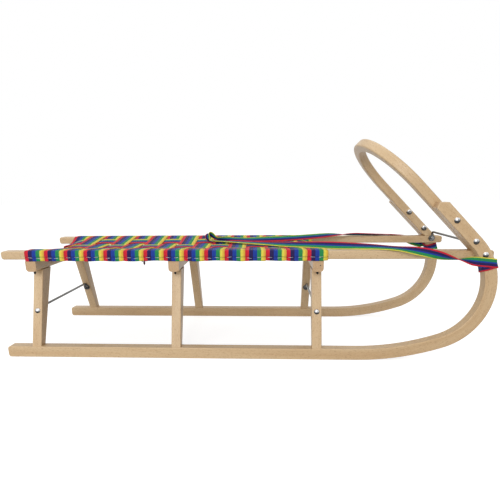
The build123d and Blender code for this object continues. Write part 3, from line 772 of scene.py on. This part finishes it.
def strip_end(edge_x, edge_z, bar_x, outward):
    """Path of a strip from the seat's edge down to the outer face of an end crossbar."""
    bar_top = rear_bar_high.z
    out = outward * STRIP_OVERHANG
    face = bar_x + outward * web_reach
    corners = [
        (edge_x, edge_z),
        (edge_x + out, edge_z - STRIP_EDGE_DROP),
        (face + out / 2, bar_top - STRIP_TURN_DROP),
        (face, bar_top - STRIP_FACE_DROP),
        (face, bar_top - STRIP_TAIL_DROP),
    ]
    return rounded_path(corners)


def strip_grid(strip):
    """Middle surface of one strip, from the rear crossbar over and under the bands to the front crossbar."""
    place = strip_places[strip]
    sign = strip_over(0, strip)
    level = seat_level(place)
    count = int((seat_front_x - seat_rear_x) / STRIP_STEP)
    path = []
    for step in range(count + 1):
        x = seat_rear_x + (seat_front_x - seat_rear_x) * step / count
        path.append((x, level + sign * WEAVE_RISE * strip_wave(x) - end_drop(x, place)))
    rear = strip_end(path[0][0], path[0][1], rear_bar_low.x, -1)
    front = strip_end(path[-1][0], path[-1][1], front_bar_high.x, 1)
    whole = list(reversed(rear[1:])) + path + front[1:]
    rows = []
    for x, z in whole:
        row = []
        for column in range(STRIP_COLUMNS):
            share = column / (STRIP_COLUMNS - 1)
            y = place + (share - 0.5) * STRIP_WIDTH
            from_rear = smooth_step((x - seat_rear_x) / STRIP_END_REACH)
            from_front = smooth_step((seat_front_x - x) / STRIP_END_REACH)
            row.append(Vector((x - BAND_SKEW * y, y, z + from_rear * from_front * (seat_level(y) - level))))
        rows.append(row)
    return rows


strip_grids = [strip_grid(strip) for strip in range(len(strip_places))]
strips = link("webbing_strips", web_mesh("webbing_strips", strip_grids, WEB_THICKNESS), webbing)
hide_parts("seat_strips")


# Wire shapes
def tube_mesh(name, paths, radius, sides, tip=1.0):
    """Closed round wires along short paths, as one mesh; tip is the share of the radius at their far ends."""
    points = []
    faces = []
    for path in paths:
        start = len(points)
        side_way = None
        for i, place in enumerate(path):
            way = (path[min(i + 1, len(path) - 1)] - path[max(i - 1, 0)]).normalized()
            if side_way is None:
                side_way = way.orthogonal().normalized()
            side_way = (side_way - way * side_way.dot(way)).normalized()
            third = way.cross(side_way)
            reach = radius * (1.0 - (1.0 - tip) * (i / (len(path) - 1)) ** 3)
            for turn in range(sides):
                angle = 2 * math.pi * turn / sides
                points.append(place + (side_way * math.cos(angle) + third * math.sin(angle)) * reach)
        for i in range(len(path) - 1):
            for turn in range(sides):
                a = start + i * sides + turn
                b = start + i * sides + (turn + 1) % sides
                faces.append((a, b, b + sides, a + sides))
        faces.append(tuple(start + turn for turn in reversed(range(sides))))
        last = start + (len(path) - 1) * sides
        faces.append(tuple(last + turn for turn in range(sides)))
    mesh = bpy.data.meshes.new(name)
    mesh.from_pydata(points, [], faces)
    for face in mesh.polygons:
        face.use_smooth = len(face.vertices) == 4
    mesh.update()
    return mesh


STAPLE_LENGTH = 0.0095
STAPLE_RADIUS = 0.00045
STAPLE_SIDES = 8
STAPLE_LEG = 0.0022
STAPLE_BEND = 0.0003
STAPLE_CROWN_SHARE = 0.9
STAPLE_PROUD_SHARE = 0.6
STAPLE_SHIFT = 0.002
STAPLE_RISE = 0.0014
STAPLE_TILT = 0.16
STAPLE_Z = 0.2325
STAPLE_SHARES = [0.24, 0.64]


def staple_path(middle, along, inward):
    """Crown of a staple with its two legs driven in."""
    half = along * (STAPLE_LENGTH / 2)
    leg = inward * STAPLE_LEG
    bend = inward * STAPLE_BEND
    return [
        middle - half + leg,
        middle - half + bend,
        middle - half * STAPLE_CROWN_SHARE,
        middle,
        middle + half * STAPLE_CROWN_SHARE,
        middle + half + bend,
        middle + half + leg,
    ]


staple_paths = []
for side in (-1, 1):
    face_y = side * (rail_high.y + WEB_GAP + WEB_THICKNESS + STAPLE_RADIUS * STAPLE_PROUD_SHARE)
    for band in range(BAND_COUNT):
        for share in STAPLE_SHARES:
            x = seat_rear_x + (band + share) * BAND_PITCH - BAND_SKEW * face_y + spread(STAPLE_SHIFT)
            z = STAPLE_Z + spread(STAPLE_RISE)
            tilt = spread(STAPLE_TILT)
            along = Vector((math.cos(tilt), 0.0, math.sin(tilt)))
            staple_paths.append(staple_path(Vector((x, face_y, z)), along, Vector((0.0, -side, 0.0))))
staples = link("staples", tube_mesh("staples", staple_paths, STAPLE_RADIUS, STAPLE_SIDES), staple_wire)


# Pull strap
def spline_points(name, places):
    """Points along the smooth line that a route's places control."""
    curve = bpy.data.curves.new(name, "CURVE")
    curve.dimensions = "3D"
    curve.resolution_u = SPLINE_STEPS
    spline = curve.splines.new("NURBS")
    spline.points.add(len(places) - 1)
    for point, place in zip(spline.points, places):
        point.co = (*place, 1.0)
    spline.order_u = 3
    spline.use_endpoint_u = True
    holder = bpy.data.objects.new(name, curve)
    bpy.context.collection.objects.link(holder)
    sampled = bpy.data.meshes.new_from_object(holder)
    points = [vertex.co.copy() for vertex in sampled.vertices]
    bpy.data.objects.remove(holder)
    bpy.data.curves.remove(curve)
    bpy.data.meshes.remove(sampled)
    return points


def strap_rows(middle, widths, shares):
    """Rows of points across a ribbon, from its red edge to its yellow edge."""
    rows = []
    for i, place in enumerate(middle):
        way = (middle[min(i + 1, len(middle) - 1)] - middle[max(i - 1, 0)]).normalized()
        across = (widths[i] - way * widths[i].dot(way)).normalized() * (STRAP_WIDTH * shares[i])
        shifts = [column / (STRAP_COLUMNS - 1) - 0.5 for column in range(STRAP_COLUMNS)]
        rows.append([place + across * shift for shift in shifts])
    return rows


strap_middle = spline_points("strap_route", [row[:3] for row in STRAP_ROUTE])
strap_widths = spline_points("strap_facing", [row[3:6] for row in STRAP_ROUTE])
share_places = [(row[6], 0.0, 0.0) for row in STRAP_ROUTE]
strap_shares = [point.x for point in spline_points("strap_share", share_places)]
strap_grid = strap_rows(strap_middle, strap_widths, strap_shares)
strap_mesh = web_mesh("pull_strap_webbing", [strap_grid], STRAP_THICKNESS)
strap = link("pull_strap_webbing", strap_mesh, strap_webbing)
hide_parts("pull_strap")

# Ends of the strap, each wound round its horn
wrap_out = Vector((math.cos(WRAP_TURN), 0.0, math.sin(WRAP_TURN)))
wrap_up = Vector((-math.sin(WRAP_TURN), 0.0, math.cos(WRAP_TURN)))
WRAP_NEAR = [
    # outward, sideways from the runner's middle and upward along the runner
    (-0.0200, 0.0141, 0.0205),
    (-0.0120, 0.0141, 0.0170),
    (0.0000, 0.0141, 0.0115),
    (0.0110, 0.0139, 0.0060),
    (0.0152, 0.0110, 0.0040),
    (0.0155, 0.0000, 0.0010),
    (0.0150, -0.0105, -0.0025),
    (0.0115, -0.0129, -0.0030),
    (0.0000, -0.0129, -0.0030),
    (-0.0115, -0.0129, -0.0020),
    (-0.0148, -0.0105, -0.0005),
    (-0.0151, 0.0000, 0.0030),
    (-0.0146, 0.0100, 0.0060),
    (-0.0115, 0.0124, 0.0058),
    (0.0000, 0.0125, 0.0052),
    (0.0110, 0.0125, 0.0060),
]
WRAP_SIDES = [
    # side of the sled, its name, how much lower the strap comes in than on the near side
    (-1, "right", 0.0),
    (1, "left", 0.008),
]
wrap_top = WRAP_NEAR[0][2]


def wrap_rows(side, drop):
    """Ribbon round the horn on one side, where the strap comes in a drop lower than on the near side."""
    middle = []
    widths = []
    for outward, sideways, upward in WRAP_NEAR:
        place = Vector((WRAP_PLACE.x, side * (WRAP_PLACE.y + sideways), WRAP_PLACE.z))
        lowered = upward - drop * max(0.0, upward) / wrap_top
        middle.append(place + wrap_out * outward + wrap_up * lowered)
        widths.append(wrap_up * -side)
    smooth_middle = spline_points("wrap_route", middle)
    smooth_widths = spline_points("wrap_facing", widths)
    return strap_rows(smooth_middle, smooth_widths, [1.0] * len(smooth_middle))


for side, side_name, drop in WRAP_SIDES:
    name = "strap_wrap_" + side_name
    wrap = link(name, web_mesh(name, [wrap_rows(side, drop)], STRAP_THICKNESS), strap_webbing)
    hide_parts("strap_loop_" + side_name)

# Frayed yarns under one band, and a pin in the front crossbar's end
TUFT_PLACE = Vector((-0.2167, -0.1425, 0.2262))
TUFT_LOCKS = [
    # place along the band, length, count of strands
    (-0.0048, 0.0040, 6),
    (0.0000, 0.0115, 14),
    (0.0050, 0.0035, 5),
]
TUFT_RADIUS = 0.0005
TUFT_SIDES = 6
TUFT_TIP = 0.5
TUFT_LEAN = 0.14
TUFT_LEAN_OUT = -0.20
TUFT_LEAN_IN = 0.05
TUFT_SPREAD = 0.0016
TUFT_DEPTH = 0.002
TUFT_SHORTEST = 0.6
TUFT_BEND = 0.001
TUFT_MIDDLE_BEND = 0.4
tuft_paths = []
for shift, length, strands in TUFT_LOCKS:
    for _ in range(strands):
        lean = Vector((spread(TUFT_LEAN), random.uniform(TUFT_LEAN_OUT, TUFT_LEAN_IN), -1.0)).normalized()
        start = TUFT_PLACE + Vector((shift + spread(TUFT_SPREAD), random.uniform(0.0, TUFT_DEPTH), 0.0))
        reach = length * random.uniform(TUFT_SHORTEST, 1.0)
        bend = Vector((spread(TUFT_BEND), spread(TUFT_BEND), 0.0))
        middle = start + lean * reach * 0.5 + bend * TUFT_MIDDLE_BEND
        tuft_paths.append([start, middle, start + lean * reach + bend])
tuft_mesh = tube_mesh("thread_tuft", tuft_paths, TUFT_RADIUS, TUFT_SIDES, TUFT_TIP)
tuft = link("thread_tuft", tuft_mesh, thread)

PIN_RADIUS = 0.0012
PIN_SIDES = 12
PIN_X = 0.1766
PIN_Z = 0.2145
PIN_DEPTH = 0.004
PIN_PROUD = 0.0004
pin_place = Vector((PIN_X, front_bar_low.y, PIN_Z))
pin_path = [pin_place + Vector((0.0, PIN_DEPTH, 0.0)), pin_place - Vector((0.0, PIN_PROUD, 0.0))]
pin = link("crossbar_pin", tube_mesh("crossbar_pin", [pin_path], PIN_RADIUS, PIN_SIDES), screw_steel)

# Threads of the screws' tips under the crossbars
TIP_CORE_RADIUS = 0.0023
TIP_THREAD_RADIUS = 0.0006
TIP_REACH = 0.0095
TIP_TURNS = 4
TIP_TURN_STEPS = 12
TIP_STEPS = 8
TIP_SIDES = 14
TIP_POINT = 0.1
TIP_SINK = 0.0005
THREAD_SIDES = 6
THREAD_SHARE = 0.75
tip_cores = []
tip_threads = []
for station in ("rear", "middle", "front"):
    bar_bottom_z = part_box("crossbar_" + station)[0].z
    for side_name in ("left", "right"):
        screw_low, screw_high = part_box("screw_" + station + "_" + side_name)
        top_x = (screw_low.x + screw_high.x) / 2
        top_y = (screw_low.y + screw_high.y) / 2
        top = Vector((top_x, top_y, bar_bottom_z + TIP_SINK))
        tip_cores.append([top - Vector((0.0, 0.0, TIP_REACH * i / TIP_STEPS)) for i in range(TIP_STEPS + 1)])
        helix = []
        for i in range(TIP_TURNS * TIP_TURN_STEPS + 1):
            angle = 2 * math.pi * i / TIP_TURN_STEPS
            drop = THREAD_SHARE * TIP_REACH * i / (TIP_TURNS * TIP_TURN_STEPS)
            reach = Vector((math.cos(angle), math.sin(angle), 0.0)) * TIP_CORE_RADIUS
            helix.append(top + reach - Vector((0.0, 0.0, drop)))
        tip_threads.append(helix)
tips_mesh = tube_mesh("screw_tips", tip_cores, TIP_CORE_RADIUS, TIP_SIDES, TIP_POINT)
tips = link("screw_tips", tips_mesh, screw_steel)
threads_mesh = tube_mesh("screw_threads", tip_threads, TIP_THREAD_RADIUS, THREAD_SIDES)
threads = link("screw_threads", threads_mesh, screw_steel)

# Camera
scene = bpy.context.scene
forward = Vector(
    (
        math.sin(CAMERA_YAW) * math.cos(CAMERA_PITCH),
        math.cos(CAMERA_YAW) * math.cos(CAMERA_PITCH),
        -math.sin(CAMERA_PITCH),
    )
)
level_right = Vector((math.cos(CAMERA_YAW), -math.sin(CAMERA_YAW), 0.0))
level_up = level_right.cross(forward)
camera_right = level_right * math.cos(CAMERA_ROLL) + level_up * math.sin(CAMERA_ROLL)
camera_up = level_up * math.cos(CAMERA_ROLL) - level_right * math.sin(CAMERA_ROLL)
camera_data = bpy.data.cameras.new("camera")
camera_data.sensor_width = SENSOR_MM
camera_data.lens = FOCAL_PIXELS / PICTURE_PIXELS * SENSOR_MM
camera_data.shift_y = (AXIS_ROW - PICTURE_PIXELS / 2) / PICTURE_PIXELS
camera_data.clip_start = CLIP_START
camera = bpy.data.objects.new("camera", camera_data)
turn = Matrix((camera_right, camera_up, -forward)).transposed()
camera.matrix_world = Matrix.Translation(CAMERA_PLACE) @ turn.to_4x4()
bpy.context.collection.objects.link(camera)
scene.camera = camera

# Studio: pale floor, two large soft lamps, a small one for highlights and an even white world
FLOOR_HALF = 9.0
FLOOR_DROP = 0.0002
floor_mesh = bpy.data.meshes.new("floor")
floor_corners = [
    (-FLOOR_HALF, -FLOOR_HALF, -FLOOR_DROP),
    (FLOOR_HALF, -FLOOR_HALF, -FLOOR_DROP),
    (FLOOR_HALF, FLOOR_HALF, -FLOOR_DROP),
    (-FLOOR_HALF, FLOOR_HALF, -FLOOR_DROP),
]
floor_mesh.from_pydata(floor_corners, [], [(0, 1, 2, 3)])
floor = bpy.data.objects.new("floor", floor_mesh)
bpy.context.collection.objects.link(floor)
floor_mesh.materials.append(ground_material())

LAMPS = [
    # name, place, point that it faces, side length, power in watts
    ("key_lamp", (-0.85, -3.1, 1.35), (0.1, 0.0, 0.2), 2.6, 67.0),
    ("top_lamp", (-0.2, 0.3, 2.4), (0.0, 0.0, 0.2), 2.0, 17.0),
    ("spark_lamp", (-0.2, -1.9, 1.5), (0.3, 0.0, 0.25), 0.25, 4.0),
]
for name, place, target, size, power in LAMPS:
    lamp_data = bpy.data.lights.new(name, "AREA")
    lamp_data.shape = "SQUARE"
    lamp_data.size = size
    lamp_data.energy = power
    lamp = bpy.data.objects.new(name, lamp_data)
    lamp.location = place
    lamp.rotation_euler = (Vector(target) - Vector(place)).to_track_quat("-Z", "Y").to_euler()
    bpy.context.collection.objects.link(lamp)

WORLD_STRENGTH = 0.42
world = bpy.data.worlds.new("studio_world")
world.use_nodes = True
world_nodes = world.node_tree.nodes
world_nodes.clear()
world_output = world_nodes.new("ShaderNodeOutputWorld")
background = world_nodes.new("ShaderNodeBackground")
background.inputs["Color"].default_value = (1.0, 1.0, 1.0, 1.0)
light_path = world_nodes.new("ShaderNodeLightPath")
either = world_nodes.new("ShaderNodeMath")
either.operation = "MAXIMUM"
any_seen = world_nodes.new("ShaderNodeMath")
any_seen.operation = "MAXIMUM"
level = world_nodes.new("ShaderNodeMapRange")
level.inputs["To Min"].default_value = WORLD_STRENGTH
level.inputs["To Max"].default_value = 1.0
join = world.node_tree.links.new
join(light_path.outputs["Is Camera Ray"], either.inputs[0])
join(light_path.outputs["Is Glossy Ray"], either.inputs[1])
join(either.outputs[0], any_seen.inputs[0])
join(light_path.outputs["Is Transmission Ray"], any_seen.inputs[1])
join(any_seen.outputs[0], level.inputs["Value"])
join(level.outputs[0], background.inputs["Strength"])
join(background.outputs[0], world_output.inputs["Surface"])
scene.world = world
scene.view_settings.view_transform = "Standard"
